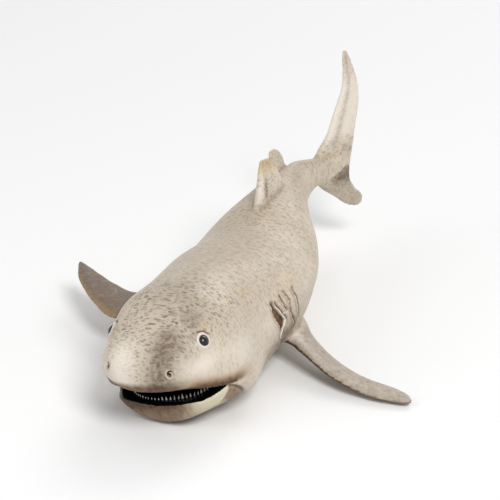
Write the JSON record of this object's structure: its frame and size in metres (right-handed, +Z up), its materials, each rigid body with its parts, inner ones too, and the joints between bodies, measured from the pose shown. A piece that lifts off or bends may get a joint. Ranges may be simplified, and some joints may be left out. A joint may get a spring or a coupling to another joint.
{
  "type": "shark figurine",
  "caption": "Moulded shark figurine with an open toothed mouth, small eyes, gill folds, long side fins, two back fins and a curved tail, lying on its belly.",
  "frame": {"origin": "middle of the small flat under the belly, on the floor", "axes": "+Z up, +Y from the snout toward the tail, +X toward the animal's left side"},
  "size_m": [0.1068, 0.15, 0.0572],
  "materials": {
    "painted_skin": "satin, tan-grey with brown spots and washes"
  },
  "bodies": {
    "root": {"shark": "painted_skin"}
  },
  "joints": []
}
